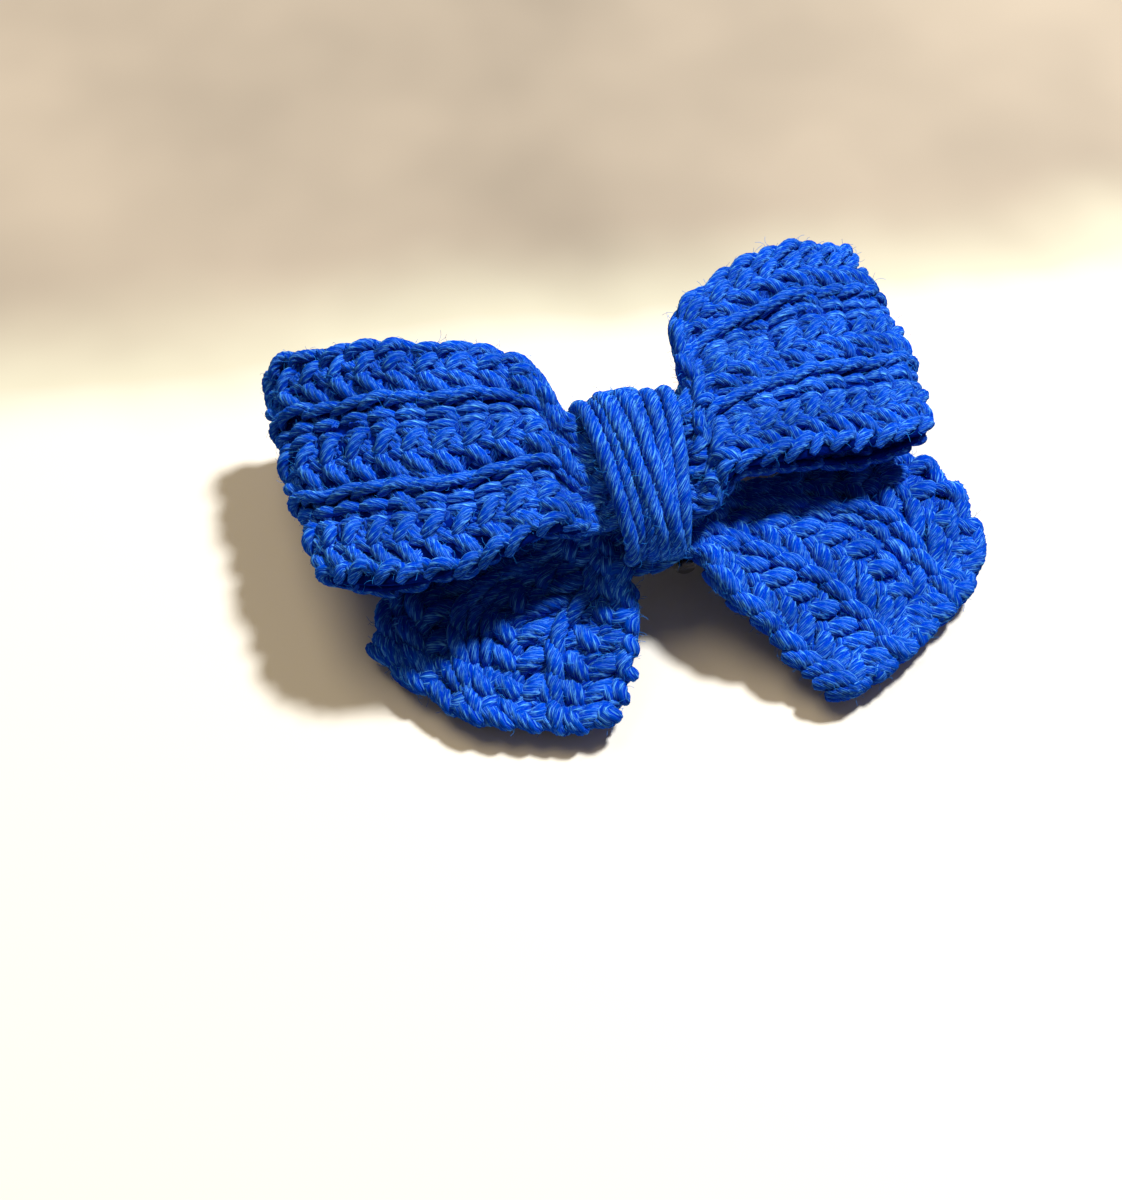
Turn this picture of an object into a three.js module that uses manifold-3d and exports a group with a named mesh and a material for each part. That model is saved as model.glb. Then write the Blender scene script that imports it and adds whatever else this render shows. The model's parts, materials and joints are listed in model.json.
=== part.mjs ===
// Crocheted hair bow on a spring clip.
// Millimetres, +Z up. The bow lies on its back: +X is its right, +Y its loops' side, -Y its tails' side.
import * as THREE from 'three';
import { mergeVertices } from 'three/addons/utils/BufferGeometryUtils.js';
import Module from 'manifold-3d';

const wasm = await Module();
wasm.setup();

// Yarn and crocheted fabric
const gap = 0.3; // between pieces that touch
const yarn = 2.2; // the wrap's and the seam's yarn
const fabric = 4; // thickness of a crocheted layer
const waistFabric = 2.8; // the same layer squeezed by the wrap
const layerGap = 0.6; // between two layers inside the wrap
const holeSlackP = 5.4; // spare room in the wrap beside the gathered strips
const holeSlackQ = 2.3; // and above and below them

// Upper loops: one strip folded into a ring
const loopReach = 49.5; // knot's centre to the outer folds
const loopHeight = 44; // width of the strip where it spreads
const waistHeight = 16; // width of the strip where it is gathered
const waistFlare = 3; // how much wider it is as it leaves the wrap
const waistMiddle = 1.5; // middle of the strip along the wrap's oval
const waistArch = 0.013; // how fast a gathered layer falls away to its edges, per mm
const seamGap = 2.6; // between the strip's two ends behind the waist

// Lower tails: one strip passing behind the loops
const tailReach = 58; // knot's centre to the farthest tail corner
const tailDrop = 34; // knot's centre down to the tail tips
const tailWaist = 11; // width of the tail strip where it is gathered
const tailSpacing = 0.4; // extra gap between the tails and the loops inside the wrap

// Knot: yarn wound round the waist
const knotX = 3; // the knot sits a little right of the middle
const knotY = 1;
const knotLift = 22; // the wrap's axis above the table
const knotLean = 28; // degrees that the wrap's oval leans
const wrapTurns = 6;
const wrapPitch = yarn + 0.15;
const endKnotRadius = 1.7; // the knot that ties off the wrap

// Spring clip
const sheetMetal = 0.7;
const clipLength = 26; // hinge pin to jaw tip
const clipWidth = 8;
const jawGap = 1.5; // between the two jaws' plates, where the teeth stand
const toothPitch = 2;
const leverLength = 8;
const topLeverAngle = 6;
const lowLeverAngle = 25;
const pinRadius = 0.8;
const pinClearance = 0.25;
const pinDrop = 2.2; // pin's axis under the upper jaw's plate
const pinX = 9.5;
const clipY = -2;
const springWire = 0.5;
const springTurns = 4;
const gluePadLength = 13;
const gluePadWidth = 9;
const gluePadThickness = 0.7; // at its thinnest

const rad = THREE.MathUtils.degToRad;

// The wrap's oval, in its own leaning axes: p along its long axis, q through the stack of layers
const leanCos = Math.cos(rad(knotLean));
const leanSin = Math.sin(rad(knotLean));
const holeP = waistHeight / 2 + holeSlackP; // half the oval hole that the strips pass through
const holeQ = 1.5 * waistFabric + layerGap + holeSlackQ;
const wrapP = holeP + yarn / 2;
const wrapQ = holeQ + yarn / 2;
const wrapHalf = (wrapTurns * wrapPitch + yarn) / 2;
const waistEdge = wrapHalf + 1; // where the strips leave the wrap
const drawnEdge = 9.15; // the waist edge that the strips' points below are drawn for

function waistPoint(x, p, q) {
  return new THREE.Vector3(knotX + x, knotY + p * leanCos - q * leanSin, knotLift + p * leanSin + q * leanCos);
}

// A rounded oval, fuller than an ellipse
function ovalPoint(angle, halfP, halfQ) {
  const fullness = 2 / 2.6;
  const c = Math.cos(angle);
  const s = Math.sin(angle);
  const p = halfP * Math.sign(c) * Math.abs(c) ** fullness;
  const q = halfQ * Math.sign(s) * Math.abs(s) ** fullness;
  return [p, q];
}

// One cross line of a strip at the waist: its two edges and its middle
function waistLine(x, middleP, width, level) {
  const arch = (p) => level - waistArch * p ** 2;
  const [low, high] = [middleP - width / 2, middleP + width / 2];
  return [low, middleP, high].map((p) => waistPoint(x, p, arch(p)));
}

// One cross line outside the waist. Points are drawn for the sizes in the first argument
// and stretched to the named ones; swell moves the middle.
function crossLine(drawn, actual, low, high, swell = [0, 0, 0]) {
  const stretch = ([x, y, z]) => {
    const outside = Math.abs(x) - drawnEdge;
    const scale = outside > 0 ? (actual.reach - waistEdge) / (drawn.reach - drawnEdge) : waistEdge / drawnEdge;
    const reach = waistEdge + outside * scale;
    return new THREE.Vector3(Math.sign(x) * reach, y * actual.height / drawn.height, z);
  };
  const [lowEdge, highEdge] = [stretch(low), stretch(high)];
  const middle = lowEdge.clone().add(highEdge).multiplyScalar(0.5).add(new THREE.Vector3(...swell));
  return [lowEdge, middle, highEdge];
}

// A strip of fabric lofted through its cross lines
function stripGeometry(lines, along, across) {
  const rails = [0, 1, 2].map((i) => new THREE.CatmullRomCurve3(lines.map((line) => line[i])));
  const surface = (s, t) => {
    const u = THREE.MathUtils.clamp(s, 0, 1);
    const [low, middle, high] = rails.map((rail) => rail.getPoint(u));
    return low.multiplyScalar(t * (t - 1) / 2)
      .add(middle.multiplyScalar(1 - t * t))
      .add(high.multiplyScalar(t * (t + 1) / 2));
  };
  const geometry = new THREE.BoxGeometry(1, 1, 1, along, across, 1);
  const position = geometry.attributes.position;
  const step = 0.002;
  for (let i = 0; i < position.count; i++) {
    const s = position.getX(i) + 0.5;
    const t = 2 * position.getY(i);
    const centre = surface(s, t);
    const alongStrip = surface(s + step, t).sub(surface(s - step, t));
    const acrossStrip = surface(s, t + step).sub(surface(s, t - step));
    const normal = alongStrip.cross(acrossStrip).normalize();
    const squeeze = THREE.MathUtils.smoothstep(Math.abs(centre.x - knotX), waistEdge, waistEdge + 8);
    const thickness = THREE.MathUtils.lerp(waistFabric, fabric, squeeze);
    centre.addScaledVector(normal, position.getZ(i) * thickness);
    position.setXYZ(i, centre.x, centre.y, centre.z);
  }
  return geometry;
}

const backLevel = 0.6; // the loop strip's back layer, at the middle of the stack
const layerStep = waistFabric + layerGap;

function loopStrip() {
  const drawn = { reach: 49.5, height: 44 };
  const actual = { reach: loopReach, height: loopHeight };
  const line = (low, high, swell) => crossLine(drawn, actual, low, high, swell);
  const seam = seamGap / 2;
  const waist = (x, level) => waistLine(x, waistMiddle, waistHeight + (Math.abs(x) > seam ? waistFlare : 0), level);
  const inside = (x, level) => waistLine(x, waistMiddle, waistHeight, level);
  return stripGeometry([
    inside(-seam, backLevel),
    waist(-waistEdge, backLevel),
    line([-13, -6, 21.8], [-13.5, 18.5, 18], [0, 0, 1]),
    line([-26, -6.5, 17.5], [-27, 26, 2.6], [0, 0, -0.5]),
    line([-37.5, -6.5, 15.5], [-39, 32, 4.2], [0, 0, -1.5]),
    line([-45, -5.5, 18.5], [-48.3, 36, 17], [-1.5, 0, 0]),
    line([-37, -10, 22], [-38, 31.7, 27], [0, 0, 1]),
    line([-25, -10.8, 23.5], [-25, 25.8, 31], [0, 0, 1.5]),
    line([-12, -8.5, 26], [-11.5, 20.5, 30.5], [0, 0, 1]),
    waist(-waistEdge, backLevel + layerStep),
    inside(0, backLevel + layerStep),
    waist(waistEdge, backLevel + layerStep),
    line([16.5, -4, 26.2], [14, 22.5, 30.5], [0, 0, 1]),
    line([28, -2, 23.5], [26.5, 31, 31], [0, 0, 1.5]),
    line([39.5, -0.5, 21.5], [39.5, 36.2, 26.5], [0, 0, 1]),
    line([49.5, 1.5, 18.5], [47.5, 38.5, 18], [2, 0, 0]),
    line([41, 1, 15.5], [39, 34, 4.2], [0, 0, -1.5]),
    line([28.5, 1, 17.5], [26.5, 29, 2.6], [0, 0, -0.5]),
    line([18, -2, 22.2], [16.5, 21, 18], [0, 0, 1]),
    waist(waistEdge, backLevel),
    inside(seam, backLevel),
  ], 76, 6);
}

function tailStrip() {
  const drawn = { reach: 58, height: 34 };
  const actual = { reach: tailReach, height: tailDrop };
  const line = (low, high, swell) => crossLine(drawn, actual, low, high, swell);
  const waist = (x, middleP) => waistLine(x, middleP, tailWaist, backLevel - layerStep - tailSpacing);
  return stripGeometry([
    line([-6, -32.5, 2], [-37, -22.5, 2]),
    line([-3.6, -26.5, 4.8], [-40, -12.5, 3.8], [0, 0, 1]),
    line([-3.2, -20.5, 7.5], [-37, -3.5, 6.5], [0, 0, 1]),
    line([-5.5, -16, 9.6], [-26, 0, 9], [0, 0, 0.6]),
    line([-8.6, -11, 12.6], [-15, -0.5, 12.8]),
    waist(-waistEdge, -4.2),
    waist(0, -3.4),
    waist(waistEdge, -2.4),
    line([15.5, -6.5, 15], [19, 1.5, 13.8]),
    line([18, -18, 10], [36, 4.8, 7.8], [0, 0, 1]),
    line([22, -27.5, 5], [51.5, 3, 6.5], [0, 0, 1]),
    line([28.5, -34.5, 2], [58, -15.5, 2]),
  ], 52, 6);
}

// Round section for yarn and wire
function roundSection(radius, sides) {
  return new THREE.Shape(new THREE.EllipseCurve(0, 0, radius, radius, 0, 2 * Math.PI).getPoints(sides).slice(0, -1));
}

function tubeGeometry(path, radius, sides, steps) {
  return new THREE.ExtrudeGeometry(roundSection(radius, sides), { steps, extrudePath: path });
}

class WrapPath extends THREE.Curve {
  getPoint(share) {
    const angle = 1.45 * Math.PI + share * wrapTurns * 2 * Math.PI;
    const [p, q] = ovalPoint(angle, wrapP, wrapQ);
    return waistPoint((share - 0.5) * wrapTurns * wrapPitch, p, q);
  }
}

function centerWrap() {
  return tubeGeometry(new WrapPath(), yarn / 2, 8, wrapTurns * 28);
}

// A wandering strand that joins the loop strip's two ends
function loopSeam() {
  const stitches = 5;
  const points = [];
  for (let i = 0; i <= stitches * 4; i++) {
    const p = waistMiddle + waistHeight * (i / (stitches * 4) - 0.5);
    const sway = 0.25 * Math.sin(i * Math.PI / 2);
    points.push(waistPoint(0, p, backLevel - waistArch * p ** 2 + sway));
  }
  return tubeGeometry(new THREE.CatmullRomCurve3(points), seamGap / 2 - gap, 8, 24);
}

function wrapKnot() {
  const tube = yarn * 0.4;
  const geometry = new THREE.TorusKnotGeometry(endKnotRadius, tube, 48, 8, 2, 3);
  const depth = endKnotRadius * 1.5 + tube;
  geometry.rotateX(rad(knotLean));
  const seat = waistPoint(0, holeP * 0.5, -(wrapQ + yarn / 2 + depth * 0.62));
  geometry.translate(seat.x, seat.y, seat.z);
  return geometry;
}

// Joins and cuts
function solid(geometry) {
  const bare = geometry.clone();
  bare.deleteAttribute('normal');
  bare.deleteAttribute('uv');
  const merged = mergeVertices(bare);
  const vertProperties = Float32Array.from(merged.attributes.position.array);
  const triVerts = Uint32Array.from(merged.index.array);
  return new wasm.Manifold(new wasm.Mesh({ numProp: 3, vertProperties, triVerts }));
}

function geometryOf(manifold) {
  const mesh = manifold.getMesh();
  const geometry = new THREE.BufferGeometry();
  geometry.setAttribute('position', new THREE.BufferAttribute(mesh.vertProperties, 3));
  geometry.setIndex(new THREE.BufferAttribute(mesh.triVerts, 1));
  return geometry;
}

function box(x0, x1, y0, y1, z0, z1) {
  return new THREE.BoxGeometry(x1 - x0, y1 - y0, z1 - z0)
    .translate((x0 + x1) / 2, (y0 + y1) / 2, (z0 + z1) / 2);
}

function crosswiseRod(x, z, radius, width, sides = 24) {
  return new THREE.CylinderGeometry(radius, radius, width, sides).translate(x, clipY, z);
}

// A plate outlined in x and z, with its wall standing at one y
function sideWall(outline, y0, y1) {
  const shape = new THREE.Shape(outline.map(([x, z]) => new THREE.Vector2(x, z)));
  return new THREE.ExtrudeGeometry(shape, { depth: y1 - y0, bevelEnabled: false })
    .rotateX(Math.PI / 2)
    .translate(0, y1, 0);
}

// The wrap's lowest point sets the clip's height
const wrapBottom = Math.min(...Array.from({ length: 72 }, (_, i) => {
  const [p, q] = ovalPoint(i * Math.PI / 36, wrapP + yarn / 2, wrapQ + yarn / 2);
  return waistPoint(0, p, q).z;
}));
const padBottom = wrapBottom - gap - gluePadThickness;
const plateTop = padBottom - gap;
const plateBottom = plateTop - sheetMetal;
const pinZ = plateBottom - pinDrop;
const tipX = pinX - clipLength;
const holeRadius = pinRadius + pinClearance;
const earReach = holeRadius + 1.1; // metal round the pin's holes
const innerWidth = clipWidth - 2 * sheetMetal - 2 * gap; // the lower jaw fits between the upper jaw's ears

function gluePad() {
  const top = wrapBottom + 5;
  const block = solid(box(-gluePadLength / 2, gluePadLength / 2,
    clipY - gluePadWidth / 2, clipY + gluePadWidth / 2, padBottom, top));
  const ring = new THREE.Shape(Array.from({ length: 48 }, (_, i) => {
    const [p, q] = ovalPoint(i * Math.PI / 24, wrapP + yarn / 2 + gap, wrapQ + yarn / 2 + gap);
    return new THREE.Vector2(p, q);
  }));
  const sleeve = new THREE.ExtrudeGeometry(ring, { depth: 4 * wrapHalf, bevelEnabled: false })
    .translate(0, 0, -2 * wrapHalf)
    .applyMatrix4(new THREE.Matrix4().makeBasis(
      new THREE.Vector3(0, leanCos, leanSin),
      new THREE.Vector3(0, -leanSin, leanCos),
      new THREE.Vector3(1, 0, 0)).setPosition(0, knotY, knotLift));
  return geometryOf(block.subtract(solid(sleeve)));
}

function tiltedLever(width, angle, rootX, rootZ) {
  return box(-0.8, leverLength, -width / 2, width / 2, -sheetMetal / 2, sheetMetal / 2)
    .rotateY(-rad(angle))
    .translate(rootX, clipY, rootZ);
}

function topJaw() {
  const earStart = pinX - earReach;
  const earEnd = pinX + earReach;
  const half = clipWidth / 2;
  const outline = new THREE.Shape();
  outline.moveTo(earEnd, -half);
  outline.lineTo(earEnd, half);
  outline.lineTo(earStart - 3, half);
  outline.lineTo(tipX + 2, half * 0.72);
  outline.absarc(tipX + half * 0.72, 0, half * 0.72, Math.PI / 2, 3 * Math.PI / 2, false);
  outline.lineTo(earStart - 3, -half);
  const plate = new THREE.ExtrudeGeometry(outline, { depth: sheetMetal, bevelEnabled: false, curveSegments: 10 })
    .translate(0, clipY, plateBottom);
  const ear = [[earStart, plateTop - 0.1], [earStart, pinZ], [pinX - 1.2, pinZ - earReach],
    [pinX + 1.2, pinZ - earReach], [earEnd, pinZ], [earEnd, plateTop - 0.1]];
  const lever = tiltedLever(clipWidth, topLeverAngle, earEnd, plateTop - sheetMetal / 2);
  return geometryOf(solid(plate)
    .add(solid(sideWall(ear, clipY + half - sheetMetal, clipY + half)))
    .add(solid(sideWall(ear, clipY - half, clipY - half + sheetMetal)))
    .add(solid(lever))
    .subtract(solid(crosswiseRod(pinX, pinZ, holeRadius, 2 * clipWidth))));
}

function bottomJaw() {
  const floorTop = plateBottom - jawGap;
  const floorBottom = floorTop - sheetMetal;
  const toothTop = plateBottom - gap;
  const half = innerWidth / 2;
  const wallEnd = pinX + 3.4; // the walls stop where the lever starts
  const teethStart = tipX + 1;
  const teeth = Math.floor((pinX - 7 - teethStart) / toothPitch);
  const outline = [[tipX + 0.5, floorBottom], [tipX + 0.5, floorTop]];
  for (let i = 0; i < teeth; i++) {
    outline.push([teethStart + i * toothPitch, floorTop]);
    outline.push([teethStart + (i + 0.5) * toothPitch, toothTop]);
  }
  outline.push([teethStart + teeth * toothPitch, floorTop]);
  outline.push([pinX - 4.2, floorTop + 0.4]);
  outline.push([pinX - 1, pinZ + earReach - 0.5]);
  outline.push([pinX + 1.2, pinZ + earReach - 0.6]);
  outline.push([wallEnd, pinZ - 0.7]);
  outline.push([wallEnd - 0.6, pinZ - 2.2]);
  outline.push([pinX - 2.6, pinZ - 1.9]);
  outline.push([pinX - 4.6, floorBottom]);
  const floor = box(tipX + 0.5, pinX - 3.2, clipY - half, clipY + half, floorBottom, floorTop);
  const lever = tiltedLever(innerWidth, -lowLeverAngle, wallEnd - 0.7, pinZ - 1.6);
  return geometryOf(solid(sideWall(outline, clipY + half - sheetMetal, clipY + half))
    .add(solid(sideWall(outline, clipY - half, clipY - half + sheetMetal)))
    .add(solid(floor))
    .add(solid(lever))
    .subtract(solid(crosswiseRod(pinX, pinZ, holeRadius, 2 * clipWidth))));
}

function hingePin() {
  const half = clipWidth / 2;
  const head = (side) => crosswiseRod(pinX, pinZ, pinRadius + 0.6, 0.5).translate(0, side * (half + gap + 0.25), 0);
  return geometryOf(solid(crosswiseRod(pinX, pinZ, pinRadius, clipWidth + 2 * gap + 0.4))
    .add(solid(head(-1)))
    .add(solid(head(1))));
}

// Torsion spring: coiled on the pin, one leg under each lever
class SpringPath extends THREE.Curve {
  getPoint(share) {
    const leg = 0.12; // share of the wire in each leg
    const radius = pinRadius + pinClearance + springWire / 2 + 0.1;
    const coil = THREE.MathUtils.clamp((share - leg) / (1 - 2 * leg), 0, 1);
    const start = rad(90);
    const turn = springTurns * 2 * Math.PI + rad(180 - topLeverAngle - lowLeverAngle);
    const angle = start - coil * turn;
    const legLength = 4.5 * (Math.max(leg - share, 0) + Math.max(share - 1 + leg, 0)) / leg;
    const direction = share < 0.5 ? 1 : -1;
    const along = new THREE.Vector2(Math.sin(angle), -Math.cos(angle)).multiplyScalar(direction * legLength);
    const y = (coil - 0.5) * springTurns * (springWire + 0.12);
    return new THREE.Vector3(
      pinX + radius * Math.cos(angle) + along.x,
      clipY + y,
      pinZ + radius * Math.sin(angle) + along.y);
  }
}

function clipSpring() {
  return tubeGeometry(new SpringPath(), springWire / 2, 6, 96);
}

const royalYarn = () => new THREE.MeshStandardMaterial({ color: 0x1450c8, roughness: 0.75, metalness: 0 });
const nickelSteel = () => new THREE.MeshStandardMaterial({ color: 0xc8c8c6, roughness: 0.25, metalness: 1 });
const springSteel = () => new THREE.MeshStandardMaterial({ color: 0x9a9a9c, roughness: 0.35, metalness: 1 });
const clearGlue = () => new THREE.MeshStandardMaterial({ color: 0xe6e2d2, roughness: 0.4, metalness: 0 });

const pieces = [
  ['loop_strip', loopStrip(), royalYarn()],
  ['loop_seam', loopSeam(), royalYarn()],
  ['tail_strip', tailStrip(), royalYarn()],
  ['center_wrap', centerWrap(), royalYarn()],
  ['wrap_knot', wrapKnot(), royalYarn()],
  ['glue_pad', gluePad(), clearGlue()],
  ['clip_top_jaw', topJaw(), nickelSteel()],
  ['clip_bottom_jaw', bottomJaw(), nickelSteel()],
  ['clip_hinge_pin', hingePin(), springSteel()],
  ['clip_spring', clipSpring(), springSteel()],
];

const group = new THREE.Group();
for (const [name, geometry, material] of pieces) {
  const mesh = new THREE.Mesh(geometry, material);
  mesh.name = name;
  group.add(mesh);
}

// The origin is the middle of the bow's footprint on the table
const bounds = new THREE.Box3().setFromObject(group);
const middle = bounds.getCenter(new THREE.Vector3());
group.position.set(-middle.x, -middle.y, -bounds.min.z);

export default group;
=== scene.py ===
import json
import math

import bmesh
import bpy
import numpy as np
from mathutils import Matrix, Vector

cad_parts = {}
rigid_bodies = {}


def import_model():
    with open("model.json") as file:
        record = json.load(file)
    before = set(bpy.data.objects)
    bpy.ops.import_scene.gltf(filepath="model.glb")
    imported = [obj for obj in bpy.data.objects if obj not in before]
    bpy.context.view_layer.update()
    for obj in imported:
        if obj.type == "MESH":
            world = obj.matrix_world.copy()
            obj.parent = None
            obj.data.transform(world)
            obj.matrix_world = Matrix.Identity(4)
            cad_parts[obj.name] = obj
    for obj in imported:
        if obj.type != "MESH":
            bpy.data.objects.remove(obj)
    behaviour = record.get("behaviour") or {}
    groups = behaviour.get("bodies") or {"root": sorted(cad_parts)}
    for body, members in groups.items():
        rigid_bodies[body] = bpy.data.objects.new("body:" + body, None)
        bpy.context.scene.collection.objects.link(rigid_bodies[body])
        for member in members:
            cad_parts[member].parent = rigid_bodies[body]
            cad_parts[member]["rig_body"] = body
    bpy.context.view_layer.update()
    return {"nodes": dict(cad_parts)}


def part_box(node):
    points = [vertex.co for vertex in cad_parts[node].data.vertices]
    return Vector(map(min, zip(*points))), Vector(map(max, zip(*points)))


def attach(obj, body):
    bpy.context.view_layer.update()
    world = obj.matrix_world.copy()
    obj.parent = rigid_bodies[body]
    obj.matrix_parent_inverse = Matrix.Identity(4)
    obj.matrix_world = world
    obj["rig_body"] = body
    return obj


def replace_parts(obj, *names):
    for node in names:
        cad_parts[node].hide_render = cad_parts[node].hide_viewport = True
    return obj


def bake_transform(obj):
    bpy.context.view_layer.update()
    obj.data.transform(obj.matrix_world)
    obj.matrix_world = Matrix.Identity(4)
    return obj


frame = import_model()

mm = 0.001
wrapLow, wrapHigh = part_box("center_wrap")
knotMiddle = np.array((wrapLow + wrapHigh) / 2)
knotDrawn = np.array((3.0, 1.0, 22.0))  # the knot's middle in the bow's own drawing, in mm
scene = bpy.context.scene


def place(points):
    # from the drawing's millimetres to the scene's metres
    return knotMiddle + (np.asarray(points, float) - knotDrawn) * mm


# the camera, the lights and the table
view = {"eye": (-47.43, -171.91, 275.75), "aim": (-10.25, -4.59, 0.0), "lens": 40.8, "sensor": 24}


def addCamera():
    data = bpy.data.cameras.new("camera")
    data.sensor_fit = "VERTICAL"
    data.sensor_height = view["sensor"]
    data.lens = view["lens"]
    data.clip_start = 0.01
    camera = bpy.data.objects.new("camera", data)
    eye, aim = Vector(place(view["eye"])), Vector(place(view["aim"]))
    camera.location = eye
    camera.rotation_euler = (aim - eye).to_track_quat("-Z", "Y").to_euler()
    scene.collection.objects.link(camera)
    scene.camera = camera


light = {
    "direction": (0.44, 0.23, 0.8), "distance": 1.1, "size": 0.16, "power": 26.0,
    "colour": (1.0, 0.96, 0.9), "fill": (1.0, 0.86, 0.72), "fillStrength": 0.16,
    "softDirection": (-0.25, 0.35, 1.0), "softDistance": 0.9, "softSize": 0.55, "softPower": 4.9,
    "softColour": (1.0, 0.77, 0.46),
}


def addLamp(name, direction, distance, size, power, colour):
    data = bpy.data.lights.new(name, "AREA")
    data.shape = "DISK"
    data.size = size
    data.energy = power
    data.color = colour
    lamp = bpy.data.objects.new(name, data)
    toLamp = Vector(direction).normalized()
    lamp.location = Vector(place(knotDrawn)) + toLamp * distance
    lamp.rotation_euler = (-toLamp).to_track_quat("-Z", "Y").to_euler()
    scene.collection.objects.link(lamp)


def addLight():
    addLamp("mainLight", light["direction"], light["distance"], light["size"],
            light["power"], light["colour"])
    addLamp("softLight", light["softDirection"], light["softDistance"], light["softSize"],
            light["softPower"], light["softColour"])
    world = bpy.data.worlds.new("roomLight")
    world.use_nodes = True
    sky = world.node_tree.nodes["Background"]
    sky.inputs["Color"].default_value = (*light["fill"], 1)
    sky.inputs["Strength"].default_value = light["fillStrength"]
    scene.world = world
    scene.view_settings.view_transform = "Standard"


def node(tree, kind, inputs=None, **settings):
    # one node, its settings and its inputs: a number sets a socket, a socket links to it
    made = tree.nodes.new(kind)
    for key, value in settings.items():
        setattr(made, key, value)
    for key, value in (inputs or {}).items():
        shown = [i for i in made.inputs if not i.is_unavailable]
        socket = shown[key] if isinstance(key, int) else next(i for i in shown if i.name == key)
        if isinstance(value, bpy.types.NodeSocket):
            tree.links.new(value, socket)
        else:
            socket.default_value = value
    return made


def out(made, which=0):
    shown = [o for o in made.outputs if not o.is_unavailable]
    return shown[which] if isinstance(which, int) else next(o for o in shown if o.name == which)


def calc(tree, operation, a, b=0.0, c=0.0, clamp=False):
    values = {0: a, 1: b, 2: c}
    made = node(tree, "ShaderNodeMath", operation=operation, use_clamp=clamp)
    for k, value in values.items():
        if k < len([i for i in made.inputs if not i.is_unavailable]):
            if isinstance(value, bpy.types.NodeSocket):
                tree.links.new(value, made.inputs[k])
            else:
                made.inputs[k].default_value = value
    return made.outputs[0]


def times(tree, a, b):
    return calc(tree, "MULTIPLY", a, b)


def noiseOf(tree, where, scale, detail, **more):
    return node(tree, "ShaderNodeTexNoise", {"Vector": where, "Scale": scale, "Detail": detail, **more})


def spread(tree, value, low, high, start=0.0, end=1.0):
    # low to high becomes start to end
    return node(tree, "ShaderNodeMapRange", {0: value, 1: low, 2: high, 3: start, 4: end}).outputs[0]


def emboss(tree, shader, height, distance, strength):
    made = node(tree, "ShaderNodeBump", {"Height": height, "Distance": distance, "Strength": strength})
    tree.links.new(made.outputs[0], shader.inputs["Normal"])


def newMaterial(name):
    material = bpy.data.materials.new(name)
    material.use_nodes = True
    tree = material.node_tree
    shader = tree.nodes["Principled BSDF"]
    return material, tree, shader, node(tree, "ShaderNodeTexCoord").outputs["Object"]


def setInputs(shader, values):
    for label, value in values.items():
        shader.inputs[label].default_value = value


def ramp(tree, value, stops):
    made = node(tree, "ShaderNodeValToRGB", {0: value})
    while len(made.color_ramp.elements) < len(stops):
        made.color_ramp.elements.new(0.5)
    for element, (at, colour) in zip(made.color_ramp.elements, stops):
        element.position = at
        element.color = (*colour, 1)
    return made.outputs[0]


# painted shade: the paper is darker and warmer towards the back, a little lighter towards the sides, with
# uneven noise in the shaded part
table = {
    "size": 3.0, "paper": (0.56, 0.56, 0.54), "cream": (0.38, 0.38, 0.32), "farShade": (0.22, 0.196, 0.166),
    "farStart": 0.036, "farEnd": 0.073, "lean": 0.07, "sideLift": 0.3, "sideReach": 10.0,
    "blotchScale": 14.0, "blotchShift": 0.03, "cloudScale": 22.0, "cloudLight": 0.1, "cloudDark": -0.15,
    "creamAt": 0.35, "rough": 0.9,
}


def addTable():
    half = table["size"] / 2
    mesh = bpy.data.meshes.new("tablePaper")
    corners = [(-half, -half, 0), (half, -half, 0), (half, half, 0), (-half, half, 0)]
    mesh.from_pydata(corners, [], [(0, 1, 2, 3)])
    floor = bpy.data.objects.new("tablePaper", mesh)
    scene.collection.objects.link(floor)
    material, tree, shader, place3 = newMaterial("palePaper")
    split = node(tree, "ShaderNodeSeparateXYZ", {0: place3})
    # the blotch noise only makes the edge of the painted shade uneven; the cloud noise varies the shade
    # within it
    back = calc(tree, "ADD", times(tree, split.outputs[0], table["lean"]), split.outputs[1])
    blotch = noiseOf(tree, place3, table["blotchScale"], 3.0)
    blotchy = times(tree, calc(tree, "SUBTRACT", blotch.outputs[0], 0.5), table["blotchShift"])
    shifted = calc(tree, "ADD", back, blotchy)
    farShare = node(tree, "ShaderNodeMapRange", {0: shifted, 1: table["farStart"], 2: table["farEnd"]},
                    interpolation_type="SMOOTHSTEP")
    cloud = noiseOf(tree, place3, table["cloudScale"], 2.0)
    darker = spread(tree, cloud.outputs[0], 0.35, 0.7, table["cloudLight"], table["cloudDark"])
    fromMiddle = times(tree, calc(tree, "ABSOLUTE", split.outputs[0]), table["sideReach"])
    sideways = calc(tree, "MINIMUM", fromMiddle, 1.0)
    lifted = calc(tree, "ADD", darker, times(tree, sideways, table["sideLift"]))
    shade = calc(tree, "ADD", times(tree, lifted, farShare.outputs[0]), 1.0)
    stops = [(0.0, table["paper"]), (table["creamAt"], table["cream"]), (1.0, table["farShade"])]
    colour = node(tree, "ShaderNodeMix", {0: 1.0}, data_type="RGBA", blend_type="MULTIPLY")
    tree.links.new(ramp(tree, farShare.outputs[0], stops), colour.inputs[6])
    tree.links.new(shade, colour.inputs[7])
    tree.links.new(colour.outputs[2], shader.inputs["Base Color"])
    shader.inputs["Roughness"].default_value = table["rough"]
    mesh.materials.append(material)


addCamera()
addLight()
addTable()
print("camera, light and table set")


# the strips' surfaces, as drawn for the frame, in mm and degrees
strips = {
    "lean": 28, "wrapEdge": 9.15, "waistWidth": 14.5, "waistFlare": 3, "tailWaist": 14,
    "waistMiddle": 1.5, "backLevel": 0.6, "layerStep": 3.4, "tailStep": 0.4, "arch": 0.013,
    "reach": 1.15, "endCorner": 7.0, "loopRest": 3.8, "tailRest": 3.4,
}
leanCos, leanSin = math.cos(math.radians(strips["lean"])), math.sin(math.radians(strips["lean"]))


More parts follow.
